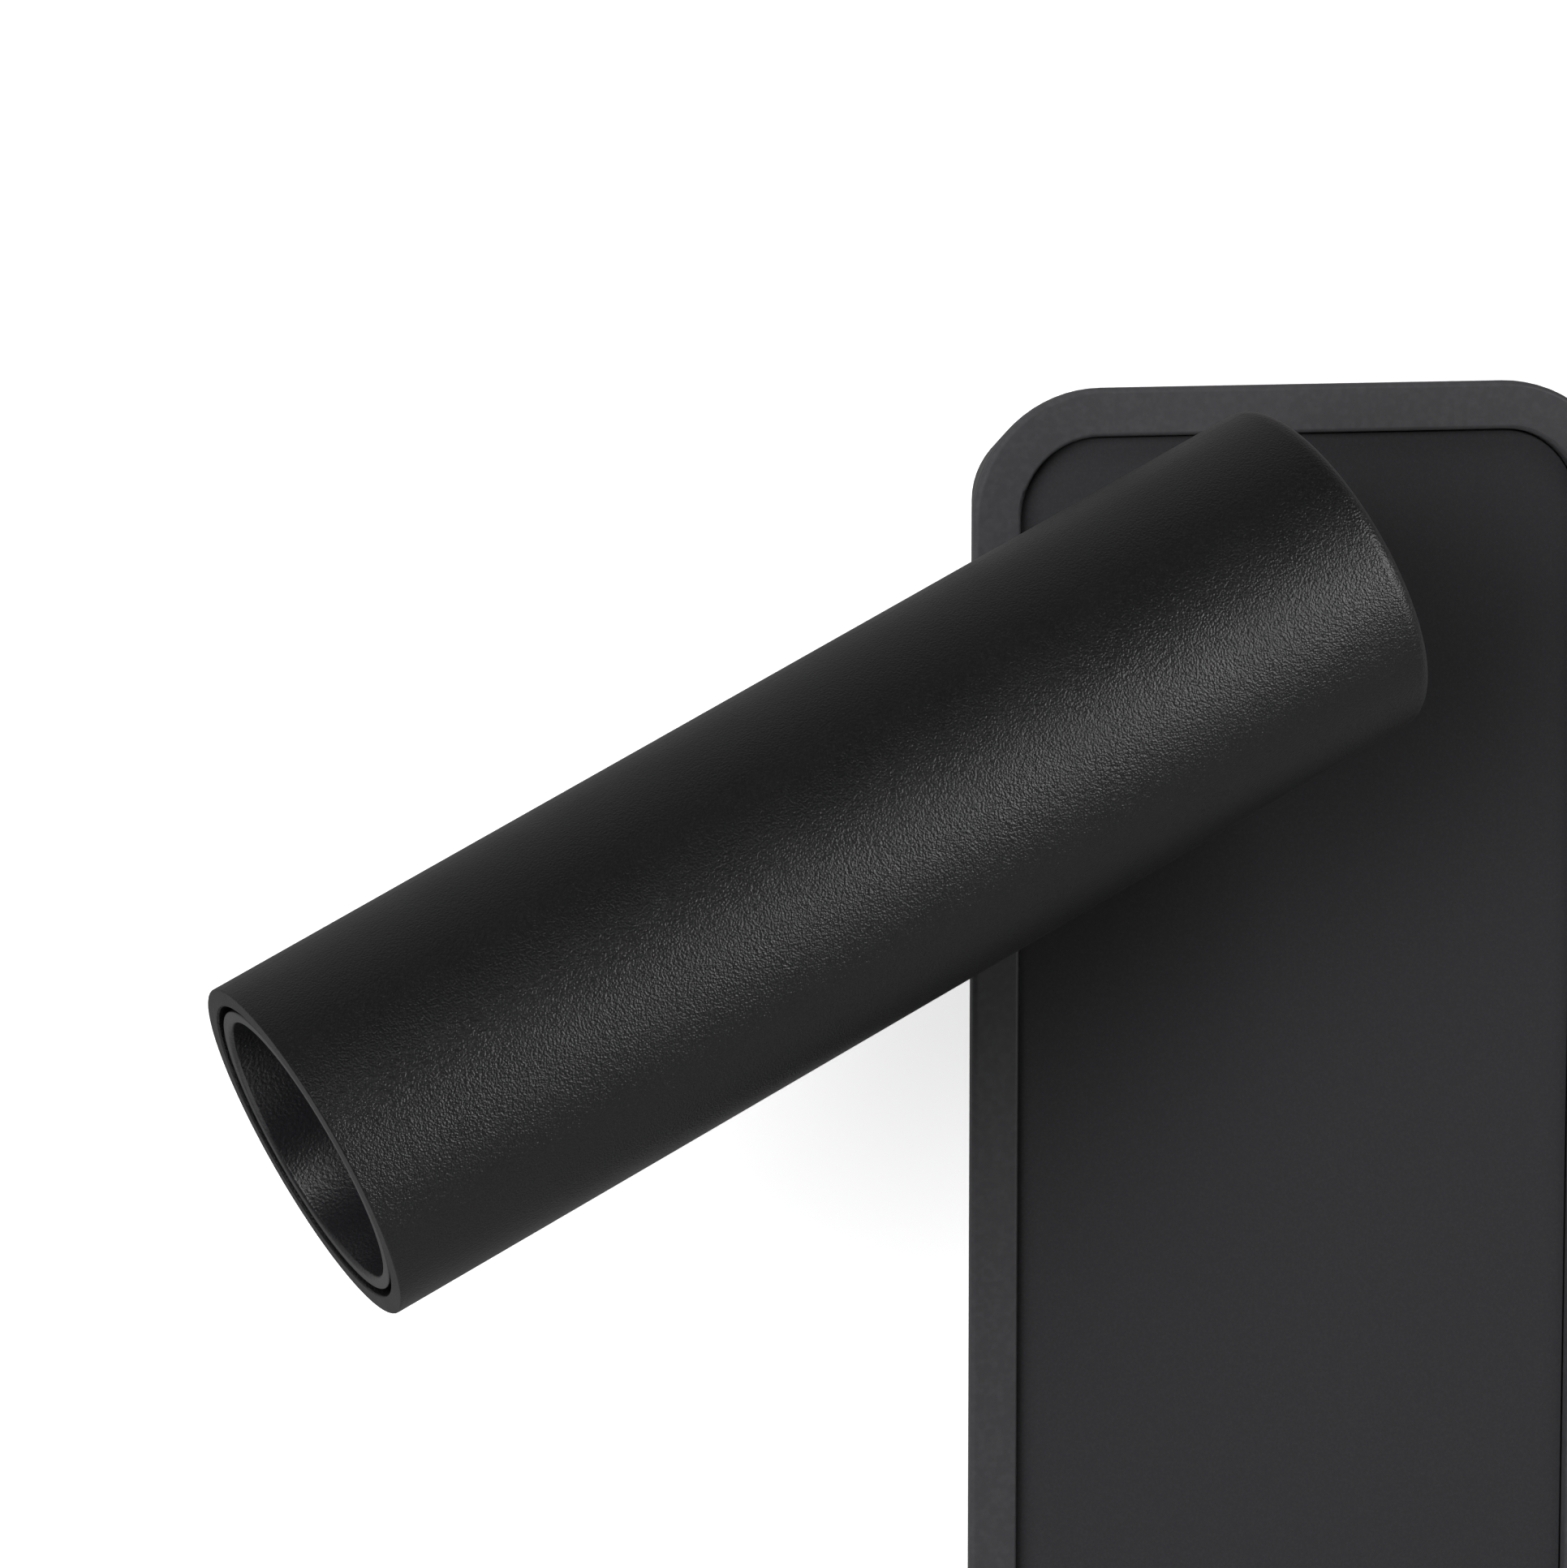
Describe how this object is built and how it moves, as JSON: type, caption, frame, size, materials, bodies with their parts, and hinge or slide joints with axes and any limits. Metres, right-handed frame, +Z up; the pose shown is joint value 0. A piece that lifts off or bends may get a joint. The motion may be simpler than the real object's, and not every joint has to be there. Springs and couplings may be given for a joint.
{
  "type": "wall reading lamp",
  "caption": "Wall reading lamp: a round tube with a deep anti-glare mouth turns and tilts on a hidden hinge, on a tall round-cornered wall box with a panel set into its rim.",
  "frame": {"origin": "centre of the base's back, on the wall", "axes": "+Z up, +Y into the wall, +X to the right for someone who faces the wall"},
  "size_m": [0.1734, 0.0906, 0.16],
  "materials": {
    "tube_coat": "matte",
    "housing_coat": "matte",
    "panel_coat": "matte",
    "collar_coat": "matte",
    "baffle_coat": "matte",
    "black_steel": "satin",
    "black_screw": "satin",
    "zinc_steel": "satin",
    "spring_steel": "satin",
    "bare_aluminium": "satin",
    "brass": "satin",
    "rubber": "matte",
    "driver_plastic": "matte",
    "connector_plastic": "satin",
    "wire_insulation": "satin",
    "bearing_plastic": "satin",
    "board_coat": "satin",
    "phosphor": "matte",
    "holder_plastic": "matte",
    "clear_plastic": "gloss"
  },
  "bodies": {
    "base": {"wall_bracket": "zinc_steel", "cable_grommet": "rubber", "base_housing": "housing_coat", "housing_screws": "black_screw", "front_panel": "panel_coat", "panel_retainers": "spring_steel", "led_driver": "driver_plastic", "driver_screws": "zinc_steel", "terminal_block": "connector_plastic", "terminal_block_screw": "zinc_steel", "earth_screw": "brass", "driver_leads": "wire_insulation", "pivot_bush": "bearing_plastic", "stop_pin": "zinc_steel"},
    "swivel": {"pivot_stem": "black_steel", "pivot_collar": "collar_coat", "friction_washer": "bearing_plastic", "stop_washer": "zinc_steel", "spring_washer": "spring_steel", "lock_nut": "zinc_steel"},
    "head": {"lamp_tube": "tube_coat", "tilt_yoke": "zinc_steel", "yoke_screws": "black_screw", "tilt_bolt": "zinc_steel", "tilt_nut": "zinc_steel", "tilt_washers": "bearing_plastic", "heat_sink": "bare_aluminium", "led_board": "board_coat", "led_chip": "phosphor", "led_screws": "zinc_steel", "lens_holder": "holder_plastic", "lens": "clear_plastic", "anti_glare_baffle": "baffle_coat"}
  },
  "joints": [
    {"name": "pan", "type": "hinge", "parent": "base", "child": "swivel", "pos_m": [-0.0172, -0.018, 0.056], "axis": [0, -1, 0], "range_deg": [-101, 229]},
    {"name": "tilt", "type": "hinge", "parent": "swivel", "child": "head", "pos_m": [-0.0172, -0.054, 0.056], "axis": [-0.4399, 0, 0.898], "range_deg": [-8, 72]}
  ]
}
